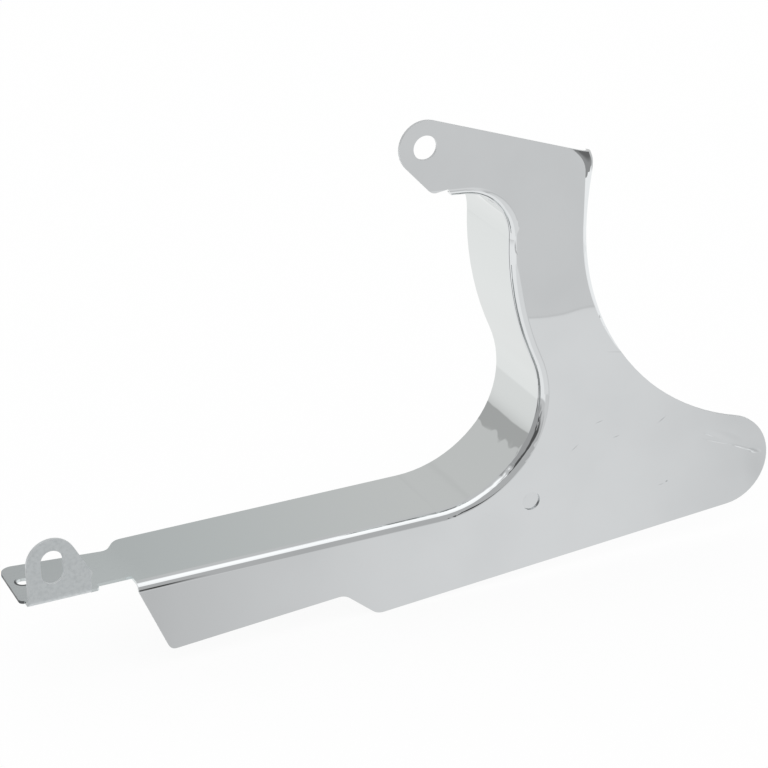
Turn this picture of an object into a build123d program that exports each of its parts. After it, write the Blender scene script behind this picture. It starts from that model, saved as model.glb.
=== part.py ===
from build123d import *
import os
from math import cos, radians, sin, tan

# Rear belt guard for a motorbike, folded from one piece of chromed sheet steel.
# Millimetres. The origin is the middle of the upper ear's hole on the outer face.
# X runs rearwards along the arm, Y runs inwards from the outer face, Z is up.
# A heading is an angle in the side view, measured from +X towards +Z.

# Sheet and its bends, with radii on the outside of the sheet
sheet = 1.5
bend_radius = 4.4
roll_radius = 7.2
flange_depth = 48.3

# Upper ear and the straight top edge that runs on from its round end
ear_hole = 12.0
ear_round = 13.2
top_edge_fall = 20.56
top_edge_end_x = 89.7
ear_under_slope = 48.6
ear_toe_drop = 23.5
ear_toe_round = 4.5
relief_x = 11.5
relief_drop = 22.4

# Line of the flange in the side view, from the lip under the ear to the front of the arm
lip_x = 14.4
lip_drop = 27.3
lip_fall = 5.0
lip_run = 6.2
lip_trim = 15.0
throat_radius = 25.8
throat_turn = 87.8
waist_radius = 150.0
waist_turn = 25.2
heel_radius = 48.0
heel_turn = 68.0
sweep_radius = 59.5
arm_run = 155.0

# Rear edge of the side plate, from the top edge down to the rounded lobe
rear_corner_round = 0.9
rear_heading = -107.5
rear_upper_radius = 127.6
rear_upper_turn = 24.4
rear_lower_radius = 118.1
rear_lower_turn = 66.7
lobe_radius = 24.2

# Bend line of the rolled rear edge, from the top edge downwards
roll_start_x = 71.9
roll_fall = 31.4
roll_lead = 6.0
roll_corner_radius = 12.8
roll_corner_turn = 61.3
roll_straight = 28.1
roll_curve_radius = 108.5
roll_curve_turn = 75.0

# Lower edge and front end of the side plate
bottom_slope = 4.16
step_x = -31.0
step_height = 15.46
step_slope = 40.0
step_round = 8.0
front_cut_slope = 67.2
front_corner_round = 4.0

# Shallow round dimple pressed into the side plate, low down
dimple_width = 9.5
dimple_x = 52.8
dimple_drop = 193.3
dimple_depth = 0.9
dimple_wall = 1.2

# Tongue, the narrow end of the flange ahead of the plate
tongue_near = 9.9
tongue_length = 55.0
tongue_neck_width = 29.9
tongue_end_width = 36.7
tongue_end_lean = 1.8
neck_setback = 1.1
neck_slope = 51.4
neck_inner_round = 5.0
neck_outer_round = 7.0
tongue_far_round = 6.0
tongue_near_round = 2.5
tongue_hole = 6.5
tongue_hole_setback = 8.2
tongue_hole_offset = 18.5

# Front ear, folded up from the near edge of the tongue
front_ear_reach = 5.9
front_ear_setback = 2.3
front_ear_round = 12.6
front_ear_slope = 61.5
front_ear_width = 31.0
front_ear_step = 1.2
front_ear_corner_round = 0.8
fold_radius = 3.0
foot_overrun = 4.5
foot_reach = 3.9
foot_round = 1.2
front_ear_rise = 18.8
slot_width = 11.0
slot_height = 17.0
slot_rise = 20.0

# How far a cutting shape runs past what it cuts, and a hidden end past the outline
past = 5.0
beyond = 60.0


def along(heading):
    return Vector(cos(radians(heading)), sin(radians(heading)))


def walk(start, heading, steps):
    """Tangent edges; each step is (length, 0) or (radius, degrees to the left)."""
    edges = []
    here = start
    for size, turn in steps:
        if turn:
            edges.append(JernArc(here, along(heading), size, turn))
        else:
            edges.append(Line(here, here + along(heading) * size))
        here = edges[-1] @ 1
        heading += turn
    return edges


def meet(point, heading, other, other_heading):
    """Where two straight lines cross."""
    a = along(heading)
    b = along(other_heading)
    gap = other - point
    return point + a * ((gap.X * b.Y - gap.Y * b.X) / (a.X * b.Y - a.Y * b.X))


def side_prism(outline, near, deep):
    """Outline in the side view given thickness between two depths."""
    face = Plane.XZ.offset(-near) * make_face(outline)
    return extrude(face, amount=deep - near, dir=(0, 1, 0))


def plan_prism(outline, low, high):
    """Outline seen from above given thickness between two heights."""
    face = Plane.XY.offset(low) * make_face(outline)
    return extrude(face, amount=high - low)


def top_edge_point(x):
    foot = along(90 - top_edge_fall) * ear_round
    return foot + along(-top_edge_fall) * ((x - foot.X) / cos(radians(top_edge_fall)))


def flange_line(outwards, lead=0.0, tail=0.0):
    """Outer face of the flange in the side view, or a line beside it."""
    sweep_turn = 180 + waist_turn - lip_fall - throat_turn - heel_turn
    steps = [
        (lip_run + lead, 0),
        (throat_radius - outwards, -throat_turn),
        (waist_radius + outwards, waist_turn),
        (heel_radius - outwards, -heel_turn),
        (sweep_radius - outwards, -sweep_turn),
        (arm_run + tail, 0),
    ]
    start = Vector(lip_x, -lip_drop) - along(-lip_fall) * lead
    return walk(start - along(90 - lip_fall) * outwards, -lip_fall, steps)


def roll_line(outwards):
    """Bend line of the rolled rear edge, or a line outside it, run on past both its ends."""
    start = top_edge_point(roll_start_x) - along(-roll_fall) * beyond
    steps = [
        (roll_lead + beyond, 0),
        (roll_corner_radius + outwards, -roll_corner_turn),
        (roll_straight, 0),
        (roll_curve_radius - outwards, roll_curve_turn),
        (beyond, 0),
    ]
    return walk(start + along(90 - roll_fall) * outwards, -roll_fall, steps)


arm_front = (flange_line(0)[-1] @ 1).X
arm_top = (flange_line(0)[-1] @ 1).Y
tongue_tip = arm_front - tongue_length


def blank(inset, near, margin):
    """Block inside the outer face of the skin, or inside the inner one, with square bends."""
    flange = flange_line(-inset, lead=beyond, tail=margin)
    roll = roll_line(roll_radius - inset)
    flange_start = flange[0] @ 0
    flange_end = flange[-1] @ 1
    roll_start = roll[0] @ 0
    roll_end = roll[-1] @ 1
    low = flange_end.Y - 2 * beyond - margin
    right = roll_end.X + margin
    rear_close = Polyline(roll_end, (right, low), (flange_end.X, low), flange_end)
    left = flange_start.X - margin
    top = roll_start.Y + margin
    ear_close = Polyline(flange_start, (left, flange_start.Y), (left, top), roll_start)
    outline = [*flange, rear_close, *roll, ear_close]
    return side_prism(outline, near, flange_depth + near), flange, roll


def round_bends(block, lines, near, radius):
    """Round the near edges of a block along the given lines of the side view."""
    front = block.edges().filter_by_position(Axis.Y, near - 0.01, near + 0.01)
    picked = []
    for line in lines:
        middle = line @ 0.5
        at = Vertex(middle.X, near, middle.Y)
        picked.append(min(front, key=at.distance_to))
    return fillet(picked, radius)


def skin():
    """Sheet of even thickness, not yet trimmed: side plate, flange and rolled rear edge."""
    outer, flange, roll = blank(0, 0, past)
    outer = round_bends(outer, flange, 0, bend_radius)
    outer = round_bends(outer, roll, 0, roll_radius)
    inner, flange, roll = blank(sheet, sheet, 2 * past)
    inner = round_bends(inner, flange, sheet, bend_radius - sheet)
    inner = round_bends(inner, roll, sheet, roll_radius - sheet)
    return outer - inner


def rear_edge():
    """Rounded top corner, concave rear edge and the lobe below it, down to the lower edge."""
    corner_turn = -rear_heading - top_edge_fall
    lobe_turn = rear_heading + rear_upper_turn + rear_lower_turn + 180 - bottom_slope
    steps = [
        (rear_corner_round, -corner_turn),
        (rear_upper_radius, rear_upper_turn),
        (rear_lower_radius, rear_lower_turn),
        (lobe_radius, -lobe_turn),
    ]
    lead = rear_corner_round * tan(radians(corner_turn / 2))
    start = top_edge_point(top_edge_end_x) - along(-top_edge_fall) * lead
    return walk(start, -top_edge_fall, steps)


def lower_edge(start):
    """Lower edge with its step, then the slanted front end up to the bend."""
    low_step = meet(start, bottom_slope, Vector(step_x, 0), 90)
    raised = start + Vector(0, step_height)
    high_step = meet(raised, bottom_slope, low_step, 180 - step_slope)
    bend_foot = Vector(arm_front, arm_top - bend_radius)
    corner = meet(raised, bottom_slope, bend_foot, -front_cut_slope)
    clear_of_arm = Vector(arm_front, arm_top + past)
    radii = [step_round, step_round, front_corner_round, 0]
    points = [start, low_step, high_step, corner, bend_foot, clear_of_arm]
    return FilletPolyline(*points, radius=radii)


def ear_edge(start):
    """Edge from the lip's end past its relief and toe to the round end, then to the top edge."""
    round_start = 270 - ear_under_slope
    round_end = 90 - top_edge_fall
    tangent = along(round_start) * ear_round
    toe = meet(tangent, -ear_under_slope, Vector(0, -ear_toe_drop), 0)
    points = [start, (lip_x, -lip_drop), (relief_x, -relief_drop), toe, tangent]
    under = FilletPolyline(*points, radius=[0, 0, ear_toe_round])
    return [under, CenterArc((0, 0), ear_round, round_end, round_start - round_end)]


def plate_outline():
    """Trimmed edge of the sheet in the side view; along the flange it runs clear in the bay."""
    rear = rear_edge()
    bay = flange_line(past)
    ear = ear_edge(bay[0] @ 0)
    top = Line(ear[-1] @ 0, rear[0] @ 0)
    return [*rear, lower_edge(rear[-1] @ 1), *bay, *ear, top]


def side_plate_and_flange():
    """Skin cut to the plate's outline, with the roll and the lip's hidden end cut back."""
    sheet_metal = skin() & side_prism(plate_outline(), -past, flange_depth + past)
    roll = roll_line(-past)
    start = roll[0] @ 0
    end = roll[-1] @ 1
    close = Polyline(end, (end.X + past, end.Y), (end.X + past, start.Y), start)
    sheet_metal -= side_prism([*roll, close], roll_radius, flange_depth + past)
    lip_end = [
        (lip_x - past, bend_radius + sheet),
        (lip_x, bend_radius + sheet),
        (lip_x + lip_trim, flange_depth + past),
        (lip_x - past, flange_depth + past),
    ]
    lip_cut = plan_prism(Polyline(*lip_end, close=True), -lip_drop - past, -relief_drop)
    return sheet_metal - lip_cut


def tongue():
    """Front end of the flange, which narrows to the tongue, with its rounded corners."""
    neck = Vector(arm_front - neck_setback, tongue_near + tongue_neck_width)
    shoulder = meet(neck, neck_slope, Vector(0, flange_depth), 0)
    root = shoulder.X + neck_outer_round + past
    points = [
        (root, tongue_near),
        (tongue_tip, tongue_near),
        (tongue_tip + tongue_end_lean, tongue_near + tongue_end_width),
        neck,
        shoulder,
        (root, flange_depth),
    ]
    radii = [tongue_near_round, tongue_far_round, neck_inner_round, neck_outer_round]
    outline = [FilletPolyline(*points, radius=radii), Line(points[-1], points[0])]
    flat = plan_prism(outline, arm_top - sheet, arm_top)
    room = [
        (root, tongue_near),
        (arm_front - past, tongue_near),
        (arm_front - past, flange_depth + past),
        (root, flange_depth + past),
    ]
    return flat, plan_prism(Polyline(*room, close=True), arm_top - sheet - past, arm_top + past)


def front_ear():
    """Ear with its foot: fold, upright plate with a round top, and the flat it grows from."""
    left = tongue_tip + front_ear_setback
    right = left + front_ear_width
    outer_y = tongue_near - front_ear_reach
    fold_y = outer_y + fold_radius
    fold_z = arm_top - sheet + fold_radius
    middle = Vector(left + front_ear_round, arm_top + front_ear_rise)
    tangent = middle + along(90 - front_ear_slope) * front_ear_round
    shoulder = meet(tangent, -front_ear_slope, Vector(right + front_ear_step, 0), 90)
    waist = Vector(right, shoulder.Y - front_ear_step)
    side = [tangent, shoulder, waist, (right, fold_z)]
    outline = [
        Line((left, fold_z), (left, middle.Y)),
        CenterArc(middle, front_ear_round, 90 - front_ear_slope, 90 + front_ear_slope),
        FilletPolyline(*side, radius=front_ear_corner_round),
        Line((right, fold_z), (left, fold_z)),
    ]
    upright = side_prism(outline, outer_y, outer_y + sheet)
    centre = (fold_y, fold_z)
    ring = [
        CenterArc(centre, fold_radius, 180, 90),
        CenterArc(centre, fold_radius - sheet, 180, 90),
        Line((outer_y, fold_z), (outer_y + sheet, fold_z)),
        Line((fold_y, fold_z - fold_radius), (fold_y, fold_z - fold_radius + sheet)),
    ]
    fold = extrude(Plane.YZ.offset(left) * make_face(ring), amount=right - left)
    overrun = right + foot_overrun
    foot_y = tongue_near - foot_reach
    foot_line = [(right, fold_y), (right, foot_y), (overrun, foot_y), (overrun, tongue_near + past)]
    foot = [
        FilletPolyline(*foot_line, radius=[0, foot_round]),
        Polyline((overrun, tongue_near + past), (left, tongue_near + past), (left, fold_y), (right, fold_y)),
    ]
    return upright + fold + plan_prism(foot, arm_top - sheet, arm_top)


def front_slot():
    """Upright slot through the front ear."""
    middle = Vector(tongue_tip + front_ear_setback + front_ear_round, arm_top + slot_rise)
    half = slot_width / 2
    low = middle - Vector(0, slot_height - slot_width)
    outline = [
        CenterArc(middle, half, 0, 180),
        CenterArc(low, half, 180, 180),
        Line(middle + Vector(half, 0), low + Vector(half, 0)),
        Line(middle - Vector(half, 0), low - Vector(half, 0)),
    ]
    outer_y = tongue_near - front_ear_reach
    return side_prism(outline, outer_y - sheet, outer_y + 2 * sheet)


def round_holes():
    """Bolt holes of the upper ear and of the tongue."""
    ear = side_prism(CenterArc((0, 0), ear_hole / 2, 0, 360), -sheet, 2 * sheet)
    place = (tongue_tip + tongue_hole_setback, tongue_near + tongue_hole_offset)
    outline = CenterArc(place, tongue_hole / 2, 0, 360)
    return ear + plan_prism(outline, arm_top - 2 * sheet, arm_top + sheet)


def dimple():
    """Cup that the dimple makes behind the side plate, and its hollow."""
    place = (dimple_x, -dimple_drop)
    rim = CenterArc(place, dimple_width / 2 + dimple_wall, 0, 360)
    cup = side_prism(rim, sheet / 2, dimple_depth + dimple_wall)
    cup = fillet(cup.edges().group_by(Axis.Y)[-1], dimple_wall / 2)
    hollow = side_prism(CenterArc(place, dimple_width / 2, 0, 360), -past, dimple_depth)
    return cup, hollow


def belt_guard():
    flat, room = tongue()
    guard = side_plate_and_flange() - room + flat + front_ear()
    guard -= front_slot() + round_holes()
    cup, hollow = dimple()
    return (guard + cup - hollow).clean()


os.makedirs("parts", exist_ok=True)
guard = belt_guard()
guard.label = "belt_guard"
export_step(guard, "parts/belt_guard.step")
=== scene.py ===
from math import radians
import bpy
from mathutils import Matrix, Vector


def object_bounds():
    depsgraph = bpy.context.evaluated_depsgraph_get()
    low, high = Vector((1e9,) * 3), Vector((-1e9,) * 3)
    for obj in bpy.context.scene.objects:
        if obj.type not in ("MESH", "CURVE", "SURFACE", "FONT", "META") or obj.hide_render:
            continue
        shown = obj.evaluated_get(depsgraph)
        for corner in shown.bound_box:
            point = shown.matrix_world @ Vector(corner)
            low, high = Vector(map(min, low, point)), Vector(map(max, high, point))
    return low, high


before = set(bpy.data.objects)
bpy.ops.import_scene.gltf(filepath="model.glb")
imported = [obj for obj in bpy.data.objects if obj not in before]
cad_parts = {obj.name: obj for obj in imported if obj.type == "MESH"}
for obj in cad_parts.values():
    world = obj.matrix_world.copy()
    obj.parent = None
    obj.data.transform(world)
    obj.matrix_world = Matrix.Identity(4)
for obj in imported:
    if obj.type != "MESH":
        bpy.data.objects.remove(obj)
cad_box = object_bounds()


# Camera
# A long lens, a little above and to the left of the guard's outer face, as for a
# catalogue picture. The shift only centres the picture on the lens's axis.
VIEW_FROM = (-0.62257, -1.32503, 0.55020)
VIEW_RIGHT = (0.90608, -0.42232, -0.025895)
VIEW_UP = (0.196983, 0.36687, 0.909184)
VIEW_AHEAD = (0.374470, 0.82890, -0.415597)
SENSOR = 36.0
PICTURE = 768
FOCAL_IN_PIXELS = 3400

lens = bpy.data.cameras.new("catalogue_lens")
lens.sensor_width = SENSOR
lens.lens = FOCAL_IN_PIXELS * SENSOR / PICTURE
lens.shift_x = -0.5 / PICTURE
lens.shift_y = 0.5 / PICTURE
lens.clip_start = 0.1
lens.clip_end = 50.0
camera = bpy.data.objects.new("catalogue_camera", lens)
aim = Matrix((VIEW_RIGHT, VIEW_UP, [-c for c in VIEW_AHEAD])).transposed()
camera.matrix_world = Matrix.Translation(VIEW_FROM) @ aim.to_4x4()
bpy.context.collection.objects.link(camera)
bpy.context.scene.camera = camera


# Belt guard
# One sheet of mild steel, cut, folded along the arm and the upright, and chromed.
# The side plate and flange are buffed; the front ear and tongue are dull and stained.
class Signal:
    """A value, colour or vector in a node tree; sums written on it add its nodes."""

    def __init__(self, tree, socket=None):
        self.tree = tree
        self.socket = socket

    def node(self, kind, settings=None, sockets=None, output=0):
        made = self.tree.nodes.new(kind)
        for name, value in (settings or {}).items():
            setattr(made, name, value)
        for name, value in (sockets or {}).items():
            if isinstance(value, Signal):
                self.tree.links.new(value.socket, made.inputs[name])
            else:
                made.inputs[name].default_value = value
        return Signal(self.tree, made.outputs[output] if made.outputs else None)

    def maths(self, operation, a, b=0.0):
        return self.node("ShaderNodeMath", {"operation": operation}, {0: a, 1: b})

    def __add__(self, other):
        return self.maths("ADD", self, other)

    def __radd__(self, other):
        return self.maths("ADD", other, self)

    def __sub__(self, other):
        return self.maths("SUBTRACT", self, other)

    def __rsub__(self, other):
        return self.maths("SUBTRACT", other, self)

    def __mul__(self, other):
        return self.maths("MULTIPLY", self, other)

    def __rmul__(self, other):
        return self.maths("MULTIPLY", other, self)

    def axis(self, letter):
        """One axis of a vector."""
        return self.node("ShaderNodeSeparateXYZ", {}, {0: self}, letter)

    def distance(self, point):
        """How far a vector lies from a point."""
        ends = {0: self, 1: point}
        return self.node("ShaderNodeVectorMath", {"operation": "DISTANCE"}, ends, "Value")

    def step(self, low, high):
        """0 below low and 1 above high, with a smooth change between them."""
        settings = {"interpolation_type": "SMOOTHSTEP", "clamp": True}
        return self.node("ShaderNodeMapRange", settings, {0: self, 1: low, 2: high})

    def drop(self, low, high):
        """1 below low and 0 above high, with a smooth change between them."""
        return 1 - self.step(low, high)

    def blend(self, a, b):
        """Value a where this is 0 and value b where it is 1."""
        return self.node("ShaderNodeMix", {"data_type": "FLOAT"}, {0: self, 2: a, 3: b})

    def tint(self, a, b):
        """Colour a where this is 0 and colour b where it is 1."""
        return self.node("ShaderNodeMix", {"data_type": "RGBA"}, {0: self, 6: a, 7: b}, 2)

    def turn_towards(self, a, b):
        """Direction a where this is 0 and direction b where it is 1."""
        return self.node("ShaderNodeMix", {"data_type": "VECTOR"}, {0: self, 4: a, 5: b}, 1)


def bare_tree(block):
    """The emptied node tree of a new material or world."""
    block.use_nodes = True
    block.node_tree.nodes.clear()
    return Signal(block.node_tree)


def cloud(place, scale, detail=2.0, stretch=None):
    """Soft blotches, scale of them to the metre, drawn out along an axis by stretch."""
    if stretch:
        place = place.node("ShaderNodeMapping", {}, {"Vector": place, "Scale": stretch})
    sockets = {"Vector": place, "Scale": scale, "Detail": detail}
    return place.node("ShaderNodeTexNoise", {}, sockets, "Fac")


def mark(flat, x, z, heading, length, width):
    """1 in the middle of a long thin mark on the side plate, 0 past its edge; in metres."""
    spot = {"Location": (x, 0.0, z), "Rotation": (0.0, -radians(heading), 0.0)}
    spot.update({"Vector": flat, "Scale": (length / 2, 1.0, width)})
    local = flat.node("ShaderNodeMapping", {"vector_type": "TEXTURE"}, spot)
    reach = flat.node("ShaderNodeVectorMath", {"operation": "LENGTH"}, {0: local}, "Value")
    return reach.drop(0.0, 1.0)


# Colours of the chrome where it is buffed or dulled, with painted highlight and painted shade
BUFFED = (0.742, 0.760, 0.770, 1.0)
BUFFED_SHADE = (0.715, 0.733, 0.743, 1.0)
BUFFED_FLANGE_REFLECTION_TINT = (0.738, 0.762, 0.756, 1.0)
BUFFED_FRONT_PAINTED_SHADE = (0.700, 0.748, 0.748, 1.0)
DULL = (0.630, 0.660, 0.670, 1.0)
DULL_STAIN_AND_SHADE = (0.560, 0.590, 0.600, 1.0)
PAINTED_RIM_HIGHLIGHT = (0.74, 0.77, 0.78, 1.0)
PAINTED_SHADE_AND_MARK_GREY = (0.30, 0.31, 0.32, 1.0)
PAINTED_EDGE_SHADE = (0.13, 0.135, 0.14, 1.0)

# Roughness of the buffed sheet, then what each fault of the finish adds to it
BUFFED_ROUGHNESS = 0.008
HAZE_ROUGHNESS = 0.008
TONGUE_ROUGHNESS = 0.10
SMEAR_ROUGHNESS = 0.12
EAR_ROUGHNESS = 0.36
STAIN_ROUGHNESS = 0.1
CUT_ROUGHNESS = 0.4
DARKENED_ROUGHNESS = 0.3

# Places on the guard in metres: x runs back from the upper ear's hole, y inwards, z up.
# A pair is where a change begins and where it is whole.
SHEET = 0.0015
BEND_RADIUS = 0.0044
BEND_START = (-0.1525, -0.1520)
BEND_END = (0.0665, 0.0670)
FLANGE_BEGINS = (0.0030, 0.0060)
FACE_ENDS = (0.0025, 0.0032)
ARM_FADE = (-0.15, 0.03)
TONGUE_FADE = (-0.162, -0.138)
FAR_END_FADE = (-0.178, -0.172)
TIP_FADE = (-0.2053, -0.2047)
EAR_SIDE = (-0.1741, -0.1738)
EAR_BACK = (0.0074, 0.0078)
HEEL_FOOT = (-0.195, -0.180)
HEEL_TOP = (-0.170, -0.156)
HEEL_START = (0.02, 0.035)
HEEL_END = (0.062, 0.064)
FOLDS_BEGIN = (0.0002, 0.0012)
FOLDS_END = (0.0035, 0.0060)

chrome = bpy.data.materials.new("chromed_steel")
finish = bare_tree(chrome)
place = finish.node("ShaderNodeTexCoord", output="Object")
across = place.axis("X")
depth = place.axis("Y")
height = place.axis("Z")
facing = finish.node("ShaderNodeNewGeometry", output="True Normal")
facing_y = facing.axis("Y")
facing_z = facing.axis("Z")
upright = facing_z.maths("ABSOLUTE", facing_z).drop(0.3, 0.6)
edgewise = facing_y.maths("ABSOLUTE", facing_y).drop(0.2, 0.4)

ear = across.drop(*EAR_SIDE) * depth.drop(*EAR_BACK)
tongue = across.drop(*TONGUE_FADE) * (1 - ear)
wall = depth.drop(SHEET, SHEET + 0.0001) * edgewise
flange = depth.step(*FLANGE_BEGINS)
front = across.drop(*ARM_FADE) * flange
outer = depth.drop(*FACE_ENDS) * facing_y.drop(-0.3, -0.1)
stain = cloud(place, 520.0, 5.0).step(0.35, 0.75)
smear = cloud(place, 60.0, 3.0, (1.0, 5.0, 1.0)).step(0.45, 0.7)
haze = cloud(place, 22.0, 3.0)
fine = cloud(place, 900.0, 2.0)

# A dark crescent of painted shade lies by the tongue's hole on its near side: what lies
# outside a circle set a little aside, and inside a wider one. The end faces at the
# tongue's far end are painted nearly black as painted shade, away from the hole.
HOLE_X, HOLE_Y = -0.1989, 0.0284
HOLE_RADIUS = 0.00325
CRESCENT_ASIDE_X, CRESCENT_ASIDE_Y = 0.0006, 0.0012
CRESCENT_INSIDE = (HOLE_RADIUS + 0.0004, HOLE_RADIUS + 0.0008)
CRESCENT_OUTSIDE = (HOLE_RADIUS + 0.0010, HOLE_RADIUS + 0.0014)
SHADED_END_AWAY = (0.0045, 0.0055)

plan = finish.node("ShaderNodeCombineXYZ", {}, {"X": across, "Y": depth})
from_hole = plan.distance((HOLE_X, HOLE_Y, 0.0))
from_aside = plan.distance((HOLE_X + CRESCENT_ASIDE_X, HOLE_Y + CRESCENT_ASIDE_Y, 0.0))
crescent_shade = from_aside.step(*CRESCENT_INSIDE) * from_hole.drop(*CRESCENT_OUTSIDE) * tongue
edge_shade_paint = upright * across.drop(*TIP_FADE) * from_hole.step(*SHADED_END_AWAY) + crescent_shade

# Scratches and small dents on the outer face, the long crease of the rear lobe, two broad
# patches beside the crease, and the squiggles beside the bend: x, z, heading, length,
# width, height of the metal, how much darker it is painted. That darkening is painted
# shade at the crease, its patches and the squiggles; the scratches and specks are only
# painted darker.
MARKS = [
    (0.0770, -0.1700, 35, 0.0070, 0.00030, -8e-6, 0.35),
    (0.0905, -0.1590, 12, 0.0060, 0.00028, -8e-6, 0.35),
    (0.1000, -0.1690, 8, 0.0055, 0.00032, -8e-6, 0.35),
    (0.1255, -0.1655, 32, 0.0075, 0.00040, -8e-6, 0.35),
    (0.1020, -0.1240, -12, 0.0200, 0.00024, -6e-6, 0.20),
    (0.1340, -0.1370, 6, 0.0105, 0.00024, -6e-6, 0.20),
    (0.1285, -0.2000, 20, 0.0020, 0.00070, -1e-5, 0.60),
    (0.1254, -0.2010, 5, 0.0050, 0.00040, -8e-6, 0.30),
    (0.1532, -0.1801, -28, 0.0130, 0.00055, -2.0e-5, 0.10),
    (0.1575, -0.1847, -22, 0.0240, 0.00070, -2.6e-5, 0.10),
    (0.1735, -0.1916, -25, 0.0240, 0.00110, -5.0e-5, 0.20),
    (0.1788, -0.1944, -22, 0.0090, 0.00170, -6.0e-5, 0.25),
    (0.1610, -0.1822, -27, 0.0260, 0.00260, 3.0e-5, 0.0),
    (0.1800, -0.2050, -75, 0.0380, 0.01000, 0.0, 0.10),
    (0.1700, -0.1760, -22, 0.0500, 0.00900, 0.0, 0.06),
    (0.0461, -0.0580, -88, 0.0085, 0.00050, -8.0e-5, 0.55),
    (0.0466, -0.0610, -75, 0.0040, 0.00035, -6.0e-5, 0.40),
    (0.0588, -0.1490, -107, 0.0080, 0.00045, -1.2e-4, 0.50),
    (0.0571, -0.1545, -112, 0.0070, 0.00040, -1.2e-4, 0.40),
]

flat = finish.node("ShaderNodeCombineXYZ", {}, {"X": across, "Z": height})
dents, shade_and_mark_paint = 0.0, 0.0
for *shape, rise_of_metal, darkening in MARKS:
    on_mark = mark(flat, *shape)
    dents = on_mark * rise_of_metal + dents
    shade_and_mark_paint = on_mark * darkening + shade_and_mark_paint

# The dimple's floor is slightly dished and painted darker, a painted shade in the recess;
# at the heel the sheet is rippled from folding.
DIMPLE_X, DIMPLE_Z = 0.0528, -0.1933
DIMPLE_RADIUS = 0.00475
DIMPLE_SHADE = 0.7
DISH_HEIGHT = 4e-5
FLANGE_RIPPLE = 7e-4
FOLD_RIPPLE = 5e-4

from_middle = flat.distance((DIMPLE_X, 0.0, DIMPLE_Z))
across_dimple = from_middle.maths("MINIMUM", from_middle * (1 / DIMPLE_RADIUS), 1.0)
dish = across_dimple * across_dimple
dimple = across_dimple.drop(0.90, 0.99) * outer
heel = height.step(*HEEL_FOOT) * height.drop(*HEEL_TOP)
heel = heel * across.step(*HEEL_START) * across.drop(*HEEL_END)
folds = heel * depth.step(*FOLDS_BEGIN) * depth.drop(*FOLDS_END)
ripple = cloud(place, 60.0, 1.0) * heel * flange * FLANGE_RIPPLE
ripple = ripple + cloud(place, 170.0, 1.0) * folds * FOLD_RIPPLE

# Colour, from the buffed sheet to the stained tongue and the dull ear, with painted shade,
# a painted highlight and a painted reflection tint laid over them
buffed = haze.step(0.35, 0.75).tint(BUFFED, BUFFED_SHADE)
# Painted reflection tint: the flange is painted a little less blue than the side plate.
buffed = flange.tint(buffed, BUFFED_FLANGE_REFLECTION_TINT)
# Painted shade: the flange is painted darker towards its front end.
buffed = front.tint(buffed, BUFFED_FRONT_PAINTED_SHADE)
# Painted shade: the dimple's floor is painted darker.
buffed = (dimple * DIMPLE_SHADE).tint(buffed, BUFFED_SHADE)
dull = stain.tint(DULL, DULL_STAIN_AND_SHADE)
# Painted highlight: the ear's edges and the walls of its slot are painted lighter.
dull = edgewise.tint(dull, PAINTED_RIM_HIGHLIGHT)
# The tongue's smears are stains; its far end, under the ear, is painted darker as painted shade.
stains_and_shade = tongue * (smear * 0.35 + across.drop(*FAR_END_FADE) * 0.45)
colour = stains_and_shade.tint(buffed, DULL_STAIN_AND_SHADE)
colour = ear.tint(colour, dull)
# The marks are painted darker: painted shade at the crease, its patches and the squiggles.
colour = (shade_and_mark_paint * outer).tint(colour, PAINTED_SHADE_AND_MARK_GREY)
# Painted shade: the crescent by the tongue's hole and the end faces at the tongue's far end.
colour = edge_shade_paint.tint(colour, PAINTED_EDGE_SHADE)

roughness = BUFFED_ROUGHNESS + haze * HAZE_ROUGHNESS
roughness = roughness + tongue * (TONGUE_ROUGHNESS + smear * SMEAR_ROUGHNESS)
roughness = roughness + ear * (EAR_ROUGHNESS + stain * STAIN_ROUGHNESS)
roughness = roughness + wall * CUT_ROUGHNESS + (shade_and_mark_paint * outer + edge_shade_paint) * DARKENED_ROUGHNESS

# Height of the surface: the sheet's slow wave, the dull parts' grain, and the marks
WAVE_HEIGHT = 2e-5
GRAIN_HEIGHT = 6e-6

wave = cloud(place, 30.0, 1.0)
grain = (ear * 0.7 + tongue * 0.25) * (stain + fine * 0.4)
relief = wave * WAVE_HEIGHT + grain * GRAIN_HEIGHT + dents * outer + dish * DISH_HEIGHT
relief = relief + ripple

# Across the bend the sheet turns in an even curve from the side plate to the upright.
# The dimple is pressed as deep as part of the bend, so it is left out.
smooth = finish.node("ShaderNodeNewGeometry", output="Normal")
rim = {"X": smooth.axis("X"), "Z": smooth.axis("Z")}
outward = finish.node("ShaderNodeCombineXYZ", {}, rim)
outward = finish.node("ShaderNodeVectorMath", {"operation": "NORMALIZE"}, {0: outward})
frontal = 1 - finish.maths("MINIMUM", depth * (1 / BEND_RADIUS), 1.0)
sideways = finish.maths("SQRT", 1 - frontal * frontal)
scaled = {0: outward, "Scale": sideways}
outward = finish.node("ShaderNodeVectorMath", {"operation": "SCALE"}, scaled)
frontal = finish.node("ShaderNodeCombineXYZ", {}, {"Y": 0 - frontal})
curve = finish.node("ShaderNodeVectorMath", {"operation": "ADD"}, {0: outward, 1: frontal})
on_bend = depth.drop(BEND_RADIUS, BEND_RADIUS + 0.0001) * smooth.axis("Y").drop(-0.03, -0.02)
on_bend = on_bend * across.step(*BEND_START) * across.drop(*BEND_END)
on_bend = on_bend * from_middle.step(0.0058, 0.0060)
bend = on_bend.turn_towards(smooth, curve)

bumps = {"Height": relief, "Distance": 1.0, "Strength": 1.0, "Normal": bend}
normal = finish.node("ShaderNodeBump", {}, bumps)
metal = {"Base Color": colour, "Metallic": 1.0, "Roughness": roughness, "Normal": normal}
surface = finish.node("ShaderNodeBsdfPrincipled", {}, metal)
finish.node("ShaderNodeOutputMaterial", {}, {"Surface": surface})

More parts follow.
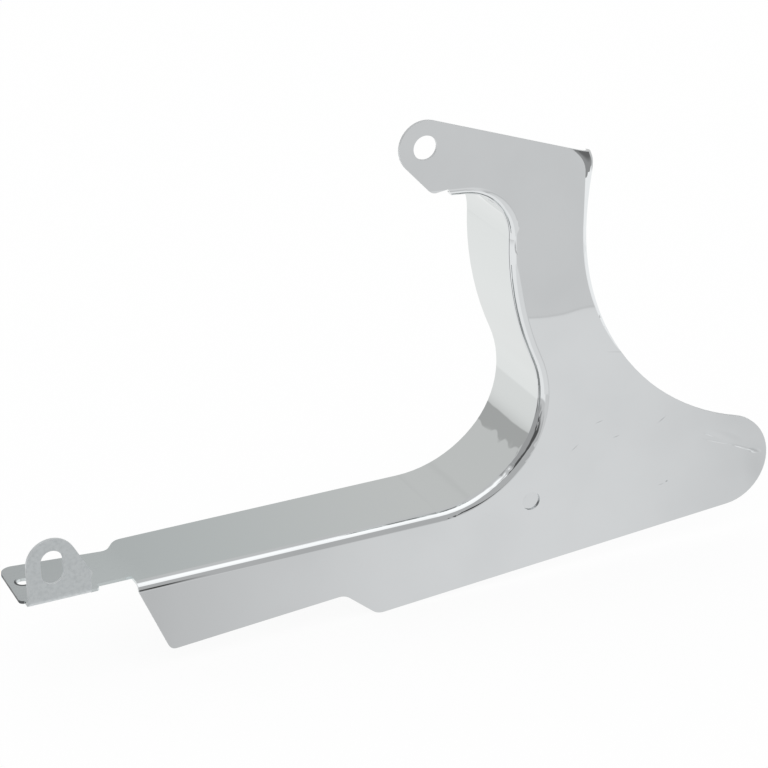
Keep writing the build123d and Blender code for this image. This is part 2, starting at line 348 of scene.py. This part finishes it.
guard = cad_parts["belt_guard"]
for each in guard.material_slots:
    each.material = chrome


# Floor
# A pale paper sheet under the guard. It shows white from where the camera stands and
# in the metal, and it still takes the guard's soft shadow.
FLOOR_SIZE = 6.0
PAPER = (0.97, 0.97, 0.97, 1.0)
WHITE = (1.0, 1.0, 1.0, 1.0)
FLOOR_GLOW = 0.90


def stand(name, corners, hidden_from):
    """A flat four-cornered piece of the studio, which some kinds of ray don't meet."""
    mesh = bpy.data.meshes.new(name)
    mesh.from_pydata(corners, [], [(0, 1, 2, 3)])
    piece = bpy.data.objects.new(name, mesh)
    for ray in hidden_from:
        setattr(piece, "visible_" + ray, False)
    bpy.context.collection.objects.link(piece)
    return piece


half = FLOOR_SIZE / 2
ground = cad_box[0].z
corners = [(-half, -half, ground), (half, -half, ground), (half, half, ground), (-half, half, ground)]
floor = stand("studio_floor", corners, ["glossy"])

paper = bpy.data.materials.new("floor_paper")
sheet = bare_tree(paper)
seen = sheet.node("ShaderNodeLightPath", output="Is Camera Ray")
mirrored = sheet.node("ShaderNodeLightPath", output="Is Glossy Ray")
through = sheet.node("ShaderNodeLightPath", output="Is Transmission Ray")
direct = seen.maths("MINIMUM", seen + mirrored + through, 1.0)
matt = sheet.node("ShaderNodeBsdfDiffuse", {}, {"Color": PAPER})
white = sheet.node("ShaderNodeEmission", {}, {"Color": WHITE, "Strength": 1.0})
face = sheet.node("ShaderNodeMixShader", {}, {0: direct * FLOOR_GLOW, 1: matt, 2: white})
sheet.node("ShaderNodeOutputMaterial", {}, {"Surface": face})
floor.data.materials.append(paper)


# Side card
# A felt card on the right, close to the guard and dark at its top, that the rolled rear
# corner mirrors. Its foot slants up away from the viewer.
CARD_NEAR = (0.293, -0.345)
CARD_FAR = (0.62, 0.10)
CARD_FOOT_NEAR = -0.186
CARD_FOOT_FAR = -0.150
CARD_TOP = 0.10
CARD_FADE = (-0.130, -0.060)
CARD_LOWER_TONE = 0.345
CARD_UPPER_TONE = 0.165

corners = [(*CARD_NEAR, CARD_FOOT_NEAR), (*CARD_FAR, CARD_FOOT_FAR)]
corners.extend([(*CARD_FAR, CARD_TOP), (*CARD_NEAR, CARD_TOP)])
side_card = stand("side_card", corners, ["camera", "diffuse", "shadow"])

felt = bpy.data.materials.new("side_card_felt")
cloth = bare_tree(felt)
card_height = cloth.node("ShaderNodeTexCoord", output="Object").axis("Z")
lower = cloth.node("ShaderNodeEmission", {}, {"Color": WHITE, "Strength": CARD_LOWER_TONE})
upper = cloth.node("ShaderNodeEmission", {}, {"Color": WHITE, "Strength": CARD_UPPER_TONE})
face = cloth.node("ShaderNodeMixShader", {}, {0: card_height.step(*CARD_FADE), 1: lower, 2: upper})
cloth.node("ShaderNodeOutputMaterial", {}, {"Surface": face})
side_card.data.materials.append(felt)


# Studio
# A plain white room with soft light from all round. Polished metal shows instead the
# grey walls and the cards hung in them, so that its bends read as bands of tone.
ROOM_TONE = 0.665

# Turn is 0 at the guard's front end, 90 towards the viewer and -90 behind the guard;
# rise is above the horizon. Each card: turn, rise, softness of both edges, how much its
# level edges climb for each degree of turn, tone. A later card hangs before an earlier.
CARDS = [
    ((-50, 30), (-14, 46), (5, 3), 0, 0.42),
    ((24, 68), (-6, 39), (6, 4), 0, 0.10),
    ((72, 121), (-17, 52), (6, 3), 0, 0.54),
    ((103, 108.1), (-12, 6), (0.5, 3), 0, 0.06),
    ((-15, 200), (54, 120), (30, 4), 0, 1.32),
    ((50, 132), (43, 60), (6, 3), 0, 1.25),
    ((-200, -158), (60, 120), (14, 4), 0, 1.25),
    ((-110.5, -98), (18, 28.3), (5, 1), 0, 0.52),
    ((-95, -50), (-20.3, 60), (6, 1), 0, 0.878),
    ((-95, -50), (7.5, 90), (6, 14), 0, 0.475),
    ((-95, -50), (5.5, 120), (6, 0.8), 0, 0.665),
    ((-62, -46), (6, 18), (3, 0.6), 0, 0.475),
    ((-200, 200), (-120, -20.3), (1, 1), 0, 1.01),
    ((-95, -50), (-28, -10), (6, 0.3), 0, 0.878),
    ((-95, -50), (-50, -20.2), (6, 1.0), 0, 0.97),
    ((-95, -50), (-120, -35), (6, 5), 0, 0.89),
    ((124, 186), (-30, -6), (4, 2), 0, 1.1),
    ((64, 110), (-60, -16), (10, 2), 0, 0.745),
    ((100, 121), (-60, -16), (1.5, 2), 0, 0.735),
    ((50, 104), (-60, -24.6), (6, 0.6), 0, 0.87),
    ((108.6, 128), (-60, -24.47), (1.0, 0.02), 0.12, 0.56),
    ((111.6, 122.5), (-60, -24.11), (5, 0.02), 0.12, 0.85),
    ((110, 126), (-24.305, -24.28), (2, 0.008), 0.12, 0.64),
    ((-40, -31), (-60, -9), (2, 4), 0, 0.12),
]


def between(value, ends, soft):
    """1 between two ends and 0 outside them, each end softened to both sides."""
    low, high = ends
    return value.step(low - soft, low + soft) * value.drop(high - soft, high + soft)


studio = bpy.data.worlds.new("studio")
room = bare_tree(studio)
way = room.node("ShaderNodeTexCoord", output="Generated")
turn = room.maths("DEGREES", room.maths("ARCTAN2", 0 - way.axis("Y"), 0 - way.axis("X")))
rise = room.maths("DEGREES", room.maths("ARCSINE", way.axis("Z")))
tone = ROOM_TONE
for sides, levels, (side_soft, level_soft), climb, shade in CARDS:
    level = rise - (turn - sides[0]) * climb if climb else rise
    on_card = between(turn, sides, side_soft) * between(level, levels, level_soft)
    tone = on_card.blend(tone, shade)
mirrored = room.node("ShaderNodeLightPath", output="Is Glossy Ray")
plain = room.node("ShaderNodeBackground", {}, {"Color": WHITE, "Strength": 1.0})
shown = room.node("ShaderNodeBackground", {}, {"Color": WHITE, "Strength": tone})
light = room.node("ShaderNodeMixShader", {}, {0: mirrored, 1: plain, 2: shown})
room.node("ShaderNodeOutputWorld", {}, {"Surface": light})
bpy.context.scene.world = studio
bpy.context.scene.view_settings.view_transform = "Standard"
